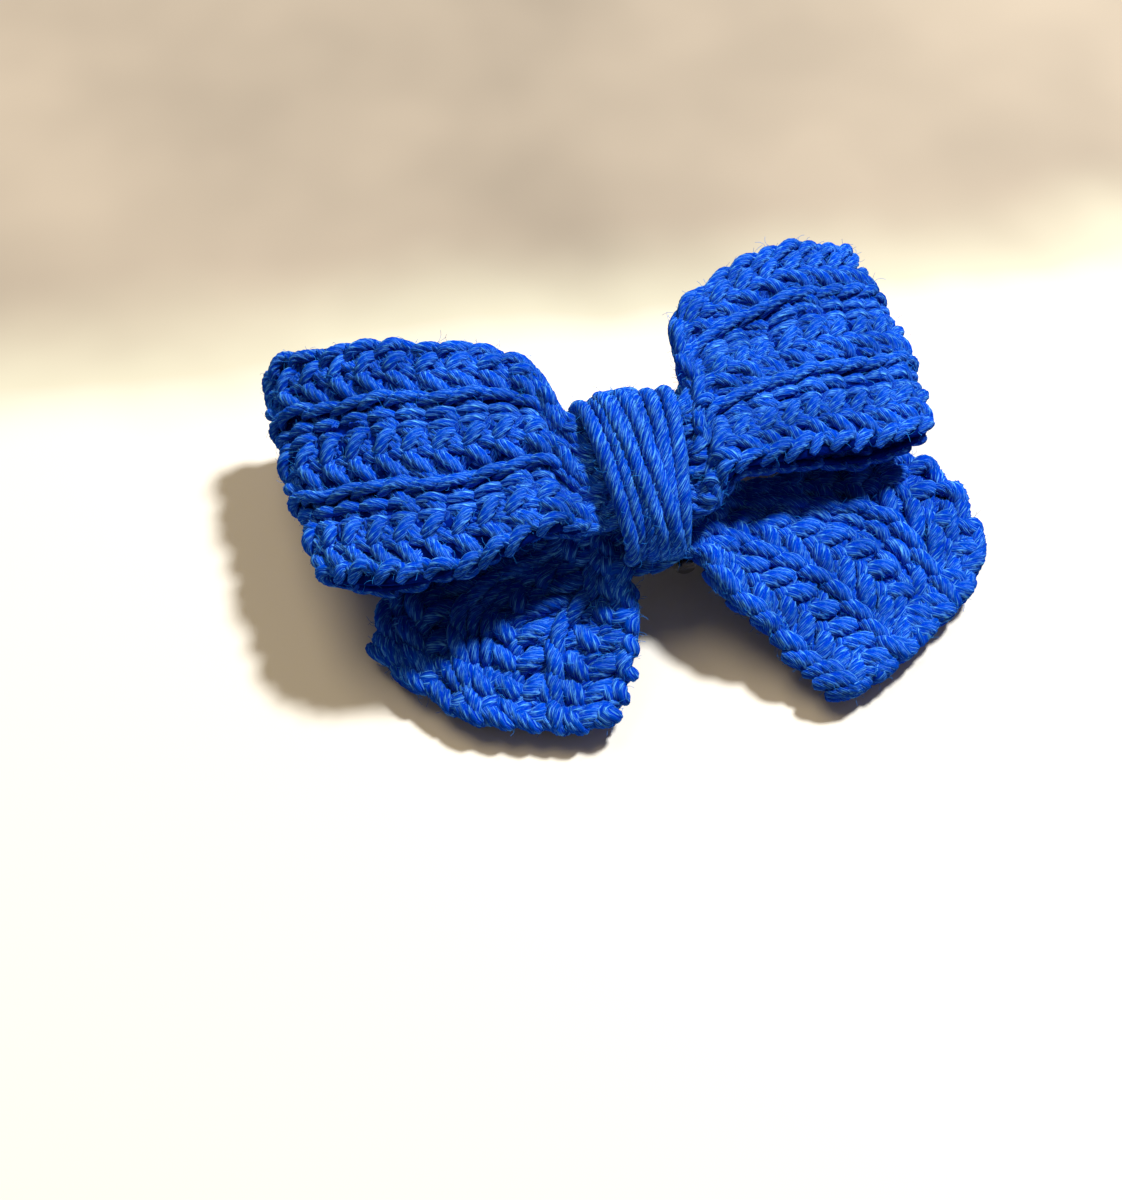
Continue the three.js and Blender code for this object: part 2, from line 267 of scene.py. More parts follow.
def waistPoint(x, p, q):
    # p runs along the wrap's long axis, q through the stack of layers
    return tuple(knotDrawn + (x, p * leanCos - q * leanSin, p * leanSin + q * leanCos))


def waistLine(x, middle, width, level):
    across = (middle - width / 2, middle, middle + width / 2)
    return [waistPoint(x, p, level - strips["arch"] * p ** 2) for p in across]


def openLine(low, high, swell=(0, 0, 0)):
    low, high = np.array(low, float), np.array(high, float)
    return [low, (low + high) / 2 + np.array(swell), high]


def loopWaist(x, level):
    width = strips["waistWidth"] + (strips["waistFlare"] if abs(x) > 6 else 0)
    return waistLine(x, strips["waistMiddle"], width, level)


back, front, edge = strips["backLevel"], strips["backLevel"] + strips["layerStep"], strips["wrapEdge"]
loopLines = [
    loopWaist(-1.3, back), loopWaist(-edge, back),
    openLine((-13, -6, 21.8), (-13.5, 18.5, 18), (0, 0, 1)),
    openLine((-26, -6.5, 17.5), (-27, 26, 2.6), (0, 0, -0.5)),
    openLine((-37.5, -6.5, 15.5), (-39, 32, 4.2), (0, 0, -1.5)),
    openLine((-45, -5.5, 18.5), (-48.3, 36, 17), (-1.5, 0, 0)),
    openLine((-37, -10, 22), (-38, 31.7, 27), (0, 0, 1)),
    openLine((-25, -10.8, 23.5), (-25, 25.8, 31), (0, 0, 1.5)),
    openLine((-12, -8.5, 26), (-11.5, 20.5, 30.5), (0, 0, 1)),
    loopWaist(-edge, front), loopWaist(0, front), loopWaist(edge, front),
    openLine((16.5, -4, 26.2), (14, 22.5, 30.5), (0, 0, 1)),
    openLine((28, -2, 23.5), (26.5, 31, 31), (0, 0, 1.5)),
    openLine((39.5, -0.5, 21.5), (39.5, 36.2, 26.5), (0, 0, 1)),
    openLine((49.5, 1.5, 18.5), (47.5, 38.5, 18), (2, 0, 0)),
    openLine((41, 1, 15.5), (39, 34, 4.2), (0, 0, -1.5)),
    openLine((28.5, 1, 17.5), (26.5, 29, 2.6), (0, 0, -0.5)),
    openLine((18, -2, 22.2), (16.5, 21, 18), (0, 0, 1)),
    loopWaist(edge, back), loopWaist(1.3, back),
]
tailLevel = strips["backLevel"] - strips["layerStep"] - strips["tailStep"]
tailLines = [
    openLine((-6, -32.5, 2), (-37, -22.5, 2)),
    openLine((-3.6, -26.5, 4.8), (-40, -12.5, 3.8), (0, 0, 1)),
    openLine((-3.2, -20.5, 7.5), (-37, -3.5, 6.5), (0, 0, 1)),
    openLine((-5.5, -16, 9.6), (-26, 0, 9), (0, 0, 0.6)),
    openLine((-8.6, -11, 12.6), (-15, -0.5, 12.8)),
    waistLine(-edge, -4.2, strips["tailWaist"], tailLevel),
    waistLine(0, -3.4, strips["tailWaist"], tailLevel),
    waistLine(edge, -2.4, strips["tailWaist"], tailLevel),
    openLine((15.5, -6.5, 15), (19, 1.5, 13.8)),
    openLine((18, -18, 10), (36, 4.8, 7.8), (0, 0, 1)),
    openLine((22, -27.5, 5), (51.5, 3, 6.5), (0, 0, 1)),
    openLine((28.5, -34.5, 2), (58, -15.5, 2)),
]


def smoothPath(points, share):
    # a centripetal Catmull-Rom line through the points
    points = np.asarray(points, float)
    points = np.vstack([2 * points[0] - points[1], points, 2 * points[-1] - points[-2]])
    position = np.clip(share, 0, 1) * (len(points) - 3)
    first = np.minimum(position.astype(int), len(points) - 4)
    w = (position - first)[:, None]
    p0, p1, p2, p3 = (points[first + k] for k in range(4))
    gaps = [np.sqrt(np.maximum(np.linalg.norm(b - a, axis=1), 1e-9))[:, None]
            for a, b in ((p0, p1), (p1, p2), (p2, p3))]
    d0, d1, d2 = gaps
    leave = ((p1 - p0) / d0 - (p2 - p0) / (d0 + d1) + (p2 - p1) / d1) * d1
    arrive = ((p2 - p1) / d1 - (p3 - p1) / (d1 + d2) + (p3 - p2) / d2) * d1
    return (p1 + leave * w + (3 * (p2 - p1) - 2 * leave - arrive) * w ** 2
            + (2 * (p1 - p2) + leave + arrive) * w ** 3)


def stripGrid(lines, columns, rows, reach, rounded=0.0):
    # points of the strip's middle surface, even along its length, with their outward directions
    rails = [[line[k] for line in lines] for k in range(3)]
    dense = np.linspace(0, 1, 1200)
    middle = smoothPath(rails[1], dense)
    length = np.concatenate([[0], np.cumsum(np.linalg.norm(np.diff(middle, axis=0), axis=1))])
    t = np.linspace(-reach, reach, rows + 1)[None, :, None]
    cut = rounded / length[-1] * np.abs(t[0, :, 0] / reach) ** 4  # the ends' corners are rounded off
    even = np.linspace(0, 1, columns + 1)[:, None] * (1 - 2 * cut) + cut
    share = np.interp(even.ravel() * length[-1], length, dense)
    low, mid, high = (smoothPath(rail, share).reshape(columns + 1, rows + 1, 3) for rail in rails)
    grid = low * t * (t - 1) / 2 + mid * (1 - t * t) + high * t * (t + 1) / 2
    outward = np.cross(np.gradient(grid, axis=0), np.gradient(grid, axis=1))
    outward /= np.linalg.norm(outward, axis=2)[:, :, None]
    top = outward[columns // 2, rows // 2]
    return grid, outward * (1 if top[2] > 0 else -1), length[-1], t[0, :, 0]


def gridFaces(columns, rows):
    step = rows + 1
    return [(c * step + r, (c + 1) * step + r, (c + 1) * step + r + 1, c * step + r + 1)
            for c in range(columns) for r in range(rows)]


def guideObject(name, grid, outward, width, swap=False):
    # the surface that stitches lie on, with a map from 0 to 1 both ways
    columns, rows = grid.shape[0] - 1, grid.shape[1] - 1
    mesh = bpy.data.meshes.new(name)
    faces = gridFaces(columns, rows)
    mesh.from_pydata(place(grid.reshape(-1, 3)).tolist(), [], faces)
    uv = mesh.uv_layers.new(name="guide")
    u, v = np.meshgrid(np.linspace(0, 1, columns + 1), np.linspace(0, 1, rows + 1), indexing="ij")
    both = np.stack([v, u] if swap else [u, v], axis=2).reshape(-1, 2)
    corners = np.array([i for face in faces for i in face])
    uv.data.foreach_set("uv", both[corners].ravel())
    attribute = mesh.attributes.new("outward", "FLOAT_VECTOR", "POINT")
    attribute.data.foreach_set("vector", outward.reshape(-1))
    attribute = mesh.attributes.new("room", "FLOAT", "POINT")
    attribute.data.foreach_set("value", np.repeat(width, rows + 1).astype(np.float32))
    made = bpy.data.objects.new(name, mesh)
    scene.collection.objects.link(made)
    return made


def smoothStep(x, low, high):
    x = np.clip((x - low) / (high - low), 0, 1)
    return x * x * (3 - 2 * x)


reach = strips["reach"]  # the guides run on past the strips' edges, for the edge stitches
loopGrid, loopOut, loopLength, loopAcross = stripGrid(loopLines, 380, 46, reach)
tailGrid, tailOut, tailLength, tailAcross = stripGrid(tailLines, 200, 40, reach, strips["endCorner"])


gathers = {"depth": 1.3, "folds": 2.6, "fade": 7.0}
dents = [((27.5, 17.5, 29.5), 5.0, 3.2), ((-22, 3, 27), 5.0, 1.6)]  # centre, radius, depth
tailPulls = [  # centre, radius, how far it is pulled
    ((-7, -10.5, 12.5), 6.5, (9.0, 0.3, 0.3)), ((-5.5, -17, 9), 5.0, (1.5, 0, 0)),
    ((-6, -31, 3), 8.0, (-3.0, 0.5, 0)), ((-38, -19, 3), 8.0, (2.5, 1.5, 0)),
    ((10.5, -8, 13.5), 8.5, (-8.5, -4.4, -0.7)), ((17, -16, 10.5), 6.0, (-1.5, -1.5, 0)),
]


def pleat(grid, outward, across, depth, folds, start, fade):
    # the gathers beside the wrap, fading towards the open loop
    away = np.abs(grid[:, :, 0] - knotDrawn[0]) - start
    strength = depth * smoothStep(away, -2.0, 2.5) * np.exp(-np.maximum(away - 2.5, 0) / fade)
    wave = np.cos(across[None, :] * math.pi * folds)
    return grid + outward * (strength * wave)[:, :, None]


def dent(grid, outward, centre, radius, depth):
    distance = np.linalg.norm(grid - np.array(centre), axis=2)
    return grid - outward * (depth * np.exp(-(distance / radius) ** 2))[:, :, None]


def nudge(grid, centre, radius, shift):
    distance = np.linalg.norm(grid - np.array(centre), axis=2)
    return grid + np.array(shift) * np.exp(-(distance / radius) ** 2)[:, :, None]


loopGrid = pleat(loopGrid, loopOut, loopAcross, gathers["depth"], gathers["folds"], edge, gathers["fade"])
for centre, radius, depth in dents:
    loopGrid = dent(loopGrid, loopOut, centre, radius, depth)
for centre, radius, shift in tailPulls:
    tailGrid = nudge(tailGrid, centre, radius, shift)
for grid, rest in ((tailGrid, strips["tailRest"]), (loopGrid, strips["loopRest"])):
    # nothing sinks into the table
    low = grid[:, :, 2] - rest
    grid[:, :, 2] = rest + (low + np.sqrt(low ** 2 + 0.8)) / 2


def roomOf(grid, fullWidth):
    # how much of its full width the strip has there, for the yarn's squeeze
    width = np.linalg.norm(grid[:, -1] - grid[:, 0], axis=1) / reach
    return np.clip(width / fullWidth, 0.3, 1.0)


loopRoom, tailRoom = roomOf(loopGrid, 36), roomOf(tailGrid, 30)
loopGuide = guideObject("loopGuide", loopGrid, loopOut, loopRoom)
tailGuide = guideObject("tailGuide", tailGrid, tailOut, tailRoom)
tailEndGuide = guideObject("tailEndGuide", tailGrid, tailOut, tailRoom, swap=True)
print("strip surfaces drawn: loops", round(loopLength), "mm, tails", round(tailLength), "mm")


# the bright colour is partly the yarn's own fibre tone and partly painted highlight; the darkest colour
# and inShade are painted shade for the grooves between plies and the strands deep in the fabric
yarnLook = {
    "bright": (0.11, 0.42, 0.9), "body": (0.0, 0.046, 0.45), "shadeBlue": (0.0, 0.014, 0.4),
    "rough": 0.62, "sheen": 0.16, "sheenTint": (0.04, 0.3, 1.0), "bump": 0.7, "bumpHeight": 0.00025,
    "fibreAlong": 0.55, "fibreAround": 5.0, "fibreScale": 1.3, "patchScale": 160.0, "patchDark": 0.62,
    "patchLight": 1.15, "inShade": 0.6,
}


def yarnMaterial(name, look):
    material, tree, shader, place3 = newMaterial(name)
    around, along, groove, depth = (
        node(tree, "ShaderNodeAttribute", attribute_name=label).outputs["Vector" if k == 0 else "Fac"]
        for k, label in enumerate(("around", "along", "groove", "depth")))
    split = node(tree, "ShaderNodeSeparateXYZ", {0: around})
    fibre = node(tree, "ShaderNodeCombineXYZ", {
        0: times(tree, along, look["fibreAlong"]),
        1: times(tree, split.outputs[0], look["fibreAround"]),
        2: times(tree, split.outputs[1], look["fibreAround"])})
    streak = noiseOf(tree, fibre.outputs[0], look["fibreScale"], 3.0, Roughness=0.6).outputs[0]
    # bright streaks along the plies: partly the fibres' own tone, partly painted highlight on the ply
    # crests
    lit = spread(tree, streak, 0.5, 0.69)
    patch = noiseOf(tree, place3, look["patchScale"], 1.0)
    patchy = spread(tree, patch.outputs[0], 0.3, 0.7, look["patchDark"], look["patchLight"])
    bright = node(tree, "ShaderNodeMix", data_type="RGBA")
    tree.links.new(lit, bright.inputs[0])
    bright.inputs[6].default_value = (*look["body"], 1)
    bright.inputs[7].default_value = (*look["bright"], 1)
    varied = node(tree, "ShaderNodeMix", {0: 1.0}, data_type="RGBA", blend_type="MULTIPLY")
    tree.links.new(bright.outputs[2], varied.inputs[6])
    tree.links.new(patchy, varied.inputs[7])
    # painted shade: the colour darkens in the grooves between plies and where a strand lies deep in the
    # fabric
    uneven = spread(tree, streak, 0.35, 0.6, 1.0, 0.5)
    valley = times(tree, calc(tree, "POWER", groove, 1.6), uneven)
    paintedShade = calc(tree, "MAXIMUM", valley, spread(tree, depth, 0.45, -0.9, 0.0, look["inShade"]))
    colour = node(tree, "ShaderNodeMix", data_type="RGBA")
    tree.links.new(paintedShade, colour.inputs[0])
    tree.links.new(varied.outputs[2], colour.inputs[6])
    colour.inputs[7].default_value = (*look["shadeBlue"], 1)
    tree.links.new(colour.outputs[2], shader.inputs["Base Color"])
    emboss(tree, shader, streak, look["bumpHeight"], look["bump"])
    setInputs(shader, {
        "Roughness": look["rough"], "Sheen Weight": look["sheen"], "Sheen Roughness": 0.4,
        "Sheen Tint": (*look["sheenTint"], 1), "Specular IOR Level": 0.0})
    return material


royalYarn = yarnMaterial("royalBlueYarn", yarnLook)


# the core sheet's near-black blue is painted shade for the gaps between stitches, where the real fabric is
# the same blue yarn in shadow; its noise gives a fine grain
core = {
    "dark": (0.0, 0.003, 0.07), "light": (0.0006, 0.011, 0.2), "grain": 900.0, "bumpHeight": 0.0004,
    "thickness": 0.9, "reach": 1.0,
}


def coreMaterial():
    material, tree, shader, place3 = newMaterial("paintedShadeCore")
    noise = noiseOf(tree, place3, core["grain"], 3.0)
    tree.links.new(ramp(tree, noise.outputs[0], [(0.3, core["dark"]), (0.75, core["light"])]),
                   shader.inputs["Base Color"])
    emboss(tree, shader, noise.outputs[0], core["bumpHeight"], 0.6)
    setInputs(shader, {"Roughness": 1.0, "Specular IOR Level": 0.0})
    return material


shadeCoreMaterial = coreMaterial()


def newTree(name, sockets):
    tree = bpy.data.node_groups.new(name, "GeometryNodeTree")
    tree.interface.new_socket("Geometry", in_out="INPUT", socket_type="NodeSocketGeometry")
    for label, kind, value in sockets:
        socket = tree.interface.new_socket(label, in_out="INPUT", socket_type="NodeSocket" + kind)
        if value is not None:
            socket.default_value = value
    tree.interface.new_socket("Geometry", in_out="OUTPUT", socket_type="NodeSocketGeometry")
    entry = tree.nodes.new("NodeGroupInput")
    leave = tree.nodes.new("NodeGroupOutput")
    return tree, entry.outputs, leave.inputs[0]


def named(tree, attribute, kind):
    return node(tree, "GeometryNodeInputNamedAttribute", {"Name": attribute}, data_type=kind)


def stored(tree, geometry, attribute, value, kind="FLOAT"):
    return node(tree, "GeometryNodeStoreNamedAttribute", {
        "Geometry": geometry, "Name": attribute, "Value": value}, data_type=kind)


def moved(tree, made, offset):
    return node(tree, "GeometryNodeSetPosition", {"Geometry": made.outputs[0], "Offset": offset})


def stretched(tree, vector, amount):
    return node(tree, "ShaderNodeVectorMath", {0: vector, "Scale": amount}, operation="SCALE").outputs[0]


def wobbled(tree, made, where, scale, amount):
    # every point shifted a little, by a fixed noise
    noise = noiseOf(tree, where, scale, 1.0)
    centred = node(tree, "ShaderNodeVectorMath", {0: noise.outputs["Color"], 1: (0.5, 0.5, 0.5)},
                   operation="SUBTRACT")
    return moved(tree, made, stretched(tree, centred.outputs[0], amount))


def strandSection(tree, points, radius):
    section = node(tree, "GeometryNodeCurvePrimitiveCircle", {"Resolution": points}, mode="RADIUS")
    shown = next(i for i in section.inputs if i.name == "Radius" and not i.is_unavailable)
    tree.links.new(radius, shown)
    return section


plies = {"points": 18, "count": 6, "groove": 0.2}  # points round a strand's section, plies in it


def pliedSurface(tree, curve, given, scale, depth):
    # turns curves into plied yarn: a lobed section that twists along the strand
    section = strandSection(tree, plies["points"], given["Yarn Radius"])
    index = node(tree, "GeometryNodeInputIndex").outputs[0]
    angle = times(tree, index, math.tau / plies["points"])
    wave = calc(tree, "COSINE", times(tree, angle, float(plies["count"])))
    valley = calc(tree, "ADD", 0.5, times(tree, wave, 0.5))
    spot = node(tree, "GeometryNodeInputPosition").outputs[0]
    shrink = times(tree, calc(tree, "POWER", valley, 1.2), given["Ply Groove"])
    section = moved(tree, section, stretched(tree, spot, times(tree, shrink, -1.0)))
    ring = node(tree, "ShaderNodeCombineXYZ", {
        0: calc(tree, "COSINE", angle), 1: calc(tree, "SINE", angle)})
    section = stored(tree, section.outputs[0], "around", ring.outputs[0], "FLOAT_VECTOR")
    section = stored(tree, section.outputs[0], "groove", valley)
    length = out(node(tree, "GeometryNodeSplineParameter"), "Length")
    millimetres = times(tree, length, 1000.0)
    marked = stored(tree, curve, "along", millimetres)
    marked = stored(tree, marked.outputs[0], "depth", depth)
    twist = calc(tree, "DIVIDE", times(tree, length, math.tau), given["Ply Pitch"])
    turned = node(tree, "GeometryNodeSetCurveTilt", {"Curve": marked.outputs[0], "Tilt": twist})
    tube = node(tree, "GeometryNodeCurveToMesh", {
        "Curve": turned.outputs[0], "Profile Curve": section.outputs[0], "Scale": scale,
        "Fill Caps": True})
    smooth = node(tree, "GeometryNodeSetShadeSmooth", {"Geometry": tube.outputs[0]})
    whole = node(tree, "GeometryNodeRealizeInstances", {0: smooth.outputs[0]})
    painted = node(tree, "GeometryNodeSetMaterial", {"Geometry": whole.outputs[0],
                                                     "Material": given["Material"]})
    return painted.outputs[0]


yarnSockets = [
    ("Yarn Radius", "Float", 1.1 * mm), ("Ply Pitch", "Float", 8 * mm), ("Ply Groove", "Float", 0.22),
    ("Wobble", "Float", 0.2), ("Material", "Material", None),
]


guideRim = 0.0015  # stitches stay this far inside the guide's map
rowShape = {"wobbleScale": 0.15, "wobbleReach": 6.0, "tightest": 0.45, "endThickness": 0.55, "bulge": 0.6}


def stitchRowTree():
    # copies of one stitch along a row, bent onto the guide's surface
    tree, given, end = newTree("stitchRow", [
        ("Guide", "Object", None), ("Stitch", "Object", None), ("Stitches", "Int", 30),
        ("Stitch Width", "Float", 4.6), ("From", "Float", 0.0), ("To", "Float", 1.0),
        ("Half Width", "Float", 20.0), ("Middle", "Float", 0.0), ("Side", "Float", 1.0),
        ("Points", "Int", 15), ("Seed", "Float", 0.0)] + yarnSockets)
    step = node(tree, "ShaderNodeCombineXYZ", {0: given["Stitch Width"]})
    line = node(tree, "GeometryNodeMeshLine", {"Count": given["Stitches"], "Offset": step.outputs[0]})
    drawn = node(tree, "GeometryNodeObjectInfo", {"Object": given["Stitch"]})
    row = node(tree, "GeometryNodeInstanceOnPoints", {"Points": line.outputs[0],
                                                      "Instance": out(drawn, "Geometry")})
    row = node(tree, "GeometryNodeRealizeInstances", {0: row.outputs[0]})
    row = node(tree, "GeometryNodeCurveSplineType", {"Curve": row.outputs[0]}, spline_type="CATMULL_ROM")
    row = node(tree, "GeometryNodeResampleCurve", {"Curve": row.outputs[0], "Count": given["Points"]})
    spot = node(tree, "GeometryNodeInputPosition").outputs[0]
    shifted = node(tree, "ShaderNodeVectorMath", {0: spot}, operation="ADD")
    seedPlace = node(tree, "ShaderNodeCombineXYZ", {0: given["Seed"], 1: given["Seed"]})
    tree.links.new(seedPlace.outputs[0], shifted.inputs[1])
    row = wobbled(tree, row, shifted.outputs[0], rowShape["wobbleScale"],
                  times(tree, given["Wobble"], rowShape["wobbleReach"]))
    spot = node(tree, "ShaderNodeSeparateXYZ", {0: node(tree, "GeometryNodeInputPosition").outputs[0]})
    x, y, z = spot.outputs
    row = stored(tree, row.outputs[0], "cellDepth", z)
    whole = times(tree, given["Stitches"], given["Stitch Width"])
    span = calc(tree, "SUBTRACT", given["To"], given["From"])
    u = calc(tree, "ADD", given["From"], times(tree, calc(tree, "DIVIDE", x, whole), span))
    u = calc(tree, "MINIMUM", calc(tree, "MAXIMUM", u, guideRim), 1 - guideRim)
    t = calc(tree, "DIVIDE", calc(tree, "ADD", y, given["Middle"]), given["Half Width"])
    v = calc(tree, "DIVIDE", calc(tree, "ADD", t, reach), 2 * reach)
    v = calc(tree, "MINIMUM", calc(tree, "MAXIMUM", v, guideRim), 1 - guideRim)
    where = node(tree, "ShaderNodeCombineXYZ", {0: u, 1: v})
    surface = node(tree, "GeometryNodeObjectInfo", {"Object": given["Guide"]})
    surface = out(surface, "Geometry")

    def sampled(value, kind):
        sampler = node(tree, "GeometryNodeSampleUVSurface", {
            "Mesh": surface, "Value": value, "Sample UV": where.outputs[0]}, data_type=kind)
        mapSocket = next(i for i in sampler.inputs if i.name in ("UV Map", "Source UV Map"))
        tree.links.new(out(named(tree, "guide", "FLOAT_VECTOR")), mapSocket)
        return out(sampler)

    place3 = sampled(node(tree, "GeometryNodeInputPosition").outputs[0], "FLOAT_VECTOR")
    outward = sampled(out(named(tree, "outward", "FLOAT_VECTOR")), "FLOAT_VECTOR")
    room = sampled(out(named(tree, "room", "FLOAT")), "FLOAT")
    loose = times(tree, room, 1 - rowShape["tightest"])
    squeeze = calc(tree, "ADD", rowShape["tightest"], loose)
    rise = times(tree, z, times(tree, given["Side"], mm))
    lift = stretched(tree, outward, times(tree, rise, squeeze))
    landed = node(tree, "ShaderNodeVectorMath", {0: place3, 1: lift}, operation="ADD")
    row = node(tree, "GeometryNodeSetPosition", {
        "Geometry": row.outputs[0], "Position": landed.outputs[0]})
    factor = out(node(tree, "GeometryNodeSplineParameter"), "Factor")
    arc = calc(tree, "SINE", times(tree, factor, math.pi))
    arc = calc(tree, "POWER", arc, rowShape["bulge"])
    swollen = times(tree, arc, 1 - rowShape["endThickness"])
    thick = times(tree, calc(tree, "ADD", rowShape["endThickness"], swollen), squeeze)
    rowDepth = out(named(tree, "cellDepth", "FLOAT"))
    tree.links.new(pliedSurface(tree, row.outputs[0], given, thick, rowDepth), end)
    return tree


laidShape = {"step": 0.55, "wobbleScale": 260.0, "swellScale": 420.0, "thinnest": 0.88, "swell": 0.24}


def laidYarnTree():
    # plied yarn along any curve
    tree, given, end = newTree("laidYarn", yarnSockets)
    curve = node(tree, "GeometryNodeCurveSplineType", {"Curve": given["Geometry"]},
                 spline_type="CATMULL_ROM")
    curve = node(tree, "GeometryNodeResampleCurve", {
        "Curve": curve.outputs[0], "Length": laidShape["step"] * mm}, mode="LENGTH")
    spot = node(tree, "GeometryNodeInputPosition").outputs[0]
    curve = wobbled(tree, curve, spot, laidShape["wobbleScale"], times(tree, given["Wobble"], mm))
    swell = noiseOf(tree, spot, laidShape["swellScale"], 0.0)
    thick = calc(tree, "ADD", laidShape["thinnest"],
                 times(tree, swell.outputs[0], laidShape["swell"]))
    tree.links.new(pliedSurface(tree, curve.outputs[0], given, thick, 1.0), end)
    return tree


stitchRow = stitchRowTree()
laidYarn = laidYarnTree()


def polyCurve(name, strands):
    data = bpy.data.curves.new(name, "CURVE")
    data.dimensions = "3D"
    for strand in strands:
        spline = data.splines.new("POLY")
        spline.points.add(len(strand) - 1)
        for point, spot in zip(spline.points, strand):
            point.co = (*spot, 1)
    made = bpy.data.objects.new(name, data)
    scene.collection.objects.link(made)
    return made


def nodesMesh(name, holder, tree, values):
    # runs a tree on an object and keeps the result as a plain mesh
    modifier = holder.modifiers.new("nodes", "NODES")
    modifier.node_group = tree
    identifiers = {i.name: i.identifier for i in tree.interface.items_tree if i.in_out == "INPUT"}
    for label, value in values.items():
        modifier[identifiers[label]] = value
    bpy.context.view_layer.update()
    evaluated = holder.evaluated_get(bpy.context.evaluated_depsgraph_get())
    mesh = bpy.data.meshes.new_from_object(evaluated, depsgraph=bpy.context.evaluated_depsgraph_get())
    mesh.name = name
    holder.modifiers.remove(modifier)
    if "cellDepth" in mesh.attributes:
        mesh.attributes.remove(mesh.attributes["cellDepth"])
    made = bpy.data.objects.new(name, mesh)
    scene.collection.objects.link(made)
    return made


def finished(piece, body):
    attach(piece, body)
    return piece


# stitches, each drawn once in mm: along the row, across it, out of the fabric
stitchWidth = 4.6
stitchShapes = {
    "braid": [  # the two leaves of a stitch's top, and the strand that shows between them
        [(-0.3, -0.5, -0.5), (0.7, 0.6, 0.9), (1.9, 2.0, 1.3), (2.9, 3.2, 0.8), (3.4, 4.1, -0.7)],
        [(-0.2, 0.4, -0.5), (0.8, -0.7, 0.8), (2.0, -2.0, 1.15), (3.0, -3.1, 0.7), (3.6, -3.9, -0.7)],
        [(2.0, 0.1, -0.7), (3.3, 0.2, 0.3), (4.7, 0.0, 0.45), (6.0, -0.1, 0.2), (7.0, 0.0, -0.7)],
    ],
    "cross": [  # short strands lying side by side across the post
        [(0.05, 1.15, -0.9), (0.6, 1.2, 0.25), (2.4, 1.3, 0.85), (4.2, 1.2, 0.3), (4.8, 1.05, -0.8)],
        [(0.0, -1.15, -0.9), (0.6, -1.1, 0.2), (2.4, -1.0, 0.75), (4.1, -1.1, 0.25), (4.7, -1.2, -0.8)],
    ],
    "ridge": [  # the loop left free, which lies over the next one
        [(-1.2, -0.75, 0.2), (0.3, -0.4, 1.35), (2.5, 0.0, 1.75), (4.7, 0.4, 1.35), (6.2, 0.7, 0.2)],
    ],
    "chain": [  # the edge's braid, one strand each side of it
        [(-1.0, -1.7, 0.3), (0.5, -0.4, 1.15), (2.3, 0.5, 1.15), (4.0, 0.7, 0.3), (5.4, 0.1, -0.5)],
        [(-0.9, -0.8, -1.2), (0.7, 0.3, -1.0), (2.5, 0.8, -0.2), (4.2, 0.4, 0.7), (5.6, -0.8, 0.6)],
    ],
    "under": [  # slanting strands deeper in the fabric, seen between the others
        [(-0.7, 2.0, -0.5), (2.2, 0.6, 0.35), (5.0, -1.1, -0.4)],
        [(-0.4, 0.3, -0.5), (2.4, -0.9, 0.3), (5.4, -2.2, -0.5)],
    ],
    "leg": [  # two plain slanting legs, for the sides that are hardly seen
        [(0.4, 3.5, -0.6), (0.9, 1.8, 0.7), (1.4, -0.4, 1.0), (2.0, -3.5, -0.6)],
        [(4.5, 3.5, -0.6), (4.1, 1.6, 0.6), (3.6, -0.6, 0.85), (3.0, -3.5, -0.6)],
    ],
}
stitches = {name: polyCurve(name + "Stitch", strands) for name, strands in stitchShapes.items()}


def yarnValues(radius, pitch, wobble):
    return {"Yarn Radius": radius * mm, "Ply Pitch": pitch * mm, "Ply Groove": plies["groove"],
            "Wobble": wobble, "Material": royalYarn}


def emptyHolder(name):
    holder = bpy.data.objects.new(name + "Holder", bpy.data.meshes.new(name + "Holder"))
    scene.collection.objects.link(holder)
    return holder


def stitchRowPiece(name, guide, shape, count, start, stop, half, middle, side=1.0, **more):
    values = {
        "Guide": guide, "Stitch": stitches[shape], "Stitches": count, "Stitch Width": stitchWidth,
        "From": start, "To": stop, "Half Width": half, "Middle": middle, "Side": side,
        "Points": more.get("points", 15), "Seed": more.get("seed", 0.0),
        **yarnValues(more.get("radius", 1.5), more.get("pitch", 9.0), more.get("wobble", 0.3))}
    holder = emptyHolder(name)
    made = nodesMesh(name, holder, stitchRow, values)
    bpy.data.objects.remove(holder)
    return made


def plainRows(shapes, middles, side, seed, **more):
    # rows that differ in little but where they lie
    return [(shape, middle, side, {"seed": seed + k, **more})
            for k, (shape, middle) in enumerate(zip(shapes, middles))]


def layRows(name, rows, guide, count, half):
    return [stitchRowPiece(f"{name}_row_{number + 1}", guide, shape, count, 0.004, 0.996, half,
                           middle, side, **more)
            for number, (shape, middle, side, more) in enumerate(rows)]


loopHalf = 20.0
loopCount = round(loopLength / stitchWidth)
loopRows = [  # shape, middle across, side, more
    ("chain", 18.8, 1, {"seed": 1, "wobble": 0.6, "radius": 1.65}),
    ("braid", 14.0, 1, {"seed": 2, "radius": 1.65}),
    ("ridge", 9.2, 1, {"seed": 3, "wobble": 0.4, "radius": 1.45}),
    ("cross", 5.4, 1, {"seed": 4, "radius": 1.4, "pitch": 14}),
    ("braid", -0.1, 1, {"seed": 5, "radius": 1.65}),
    ("ridge", -5.4, 1, {"seed": 6, "wobble": 0.4, "radius": 1.45}),
    ("cross", -9.2, 1, {"seed": 7, "radius": 1.4, "pitch": 14}),
    ("braid", -14.2, 1, {"seed": 8, "radius": 1.65}),
    ("chain", -18.3, 1, {"seed": 9, "wobble": 0.6, "radius": 1.65}),
]
